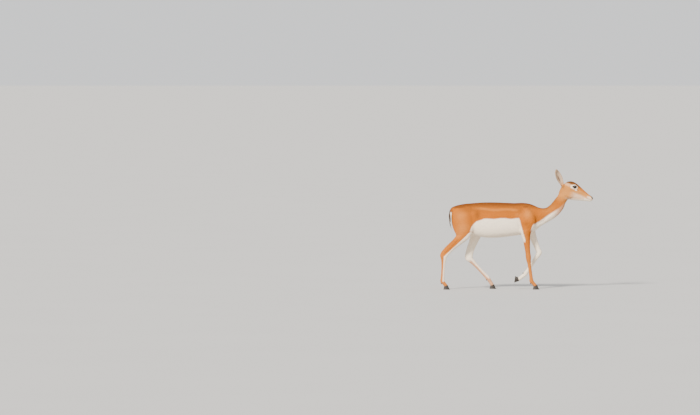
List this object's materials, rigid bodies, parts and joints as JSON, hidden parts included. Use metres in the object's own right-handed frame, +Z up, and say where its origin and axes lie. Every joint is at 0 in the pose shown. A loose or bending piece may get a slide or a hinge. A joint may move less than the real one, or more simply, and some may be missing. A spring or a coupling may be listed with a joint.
{
  "type": "blackbuck doe",
  "caption": "Still life-size blackbuck doe in mid walk, hornless, with pricked ears, slender legs and one forefoot lifted.",
  "frame": {"origin": "middle of the model's box on the ground, under the four feet", "axes": "+X the way the animal faces, +Y her left, +Z up"},
  "size_m": [1.2426, 0.1984, 0.9716],
  "materials": {
    "body_coat": "short dense fur, orange-fawn above a white belly",
    "face_coat": "short smooth fur, pale fawn with white round the eye and muzzle",
    "ear_coat": "thin short fur, pale inside",
    "leg_coat": "very short fur, tan outside and white inside",
    "tail_hair": "long dark hair with white edges",
    "eye": "wet dark brown eye",
    "hoof": "black horn, smooth with fine rings"
  },
  "bodies": {
    "root": {"torso": "body_coat", "neck": "body_coat", "head": "face_coat", "ear_left": "ear_coat", "ear_right": "ear_coat", "eye_left": "eye", "eye_right": "eye", "tail": "tail_hair", "shoulder_left": "body_coat", "shoulder_right": "body_coat", "thigh_left": "body_coat", "thigh_right": "body_coat", "forearm_fore_left": "leg_coat", "forearm_fore_right": "leg_coat", "gaskin_hind_left": "leg_coat", "gaskin_hind_right": "leg_coat", "cannon_fore_left": "leg_coat", "cannon_fore_right": "leg_coat", "cannon_hind_left": "leg_coat", "cannon_hind_right": "leg_coat", "foot_fore_left": "leg_coat", "foot_fore_right": "leg_coat", "foot_hind_left": "leg_coat", "foot_hind_right": "leg_coat", "hoof_inner_fore_left": "hoof", "hoof_outer_fore_left": "hoof", "hoof_inner_fore_right": "hoof", "hoof_outer_fore_right": "hoof", "hoof_inner_hind_left": "hoof", "hoof_outer_hind_left": "hoof", "hoof_inner_hind_right": "hoof", "hoof_outer_hind_right": "hoof"}
  },
  "joints": []
}
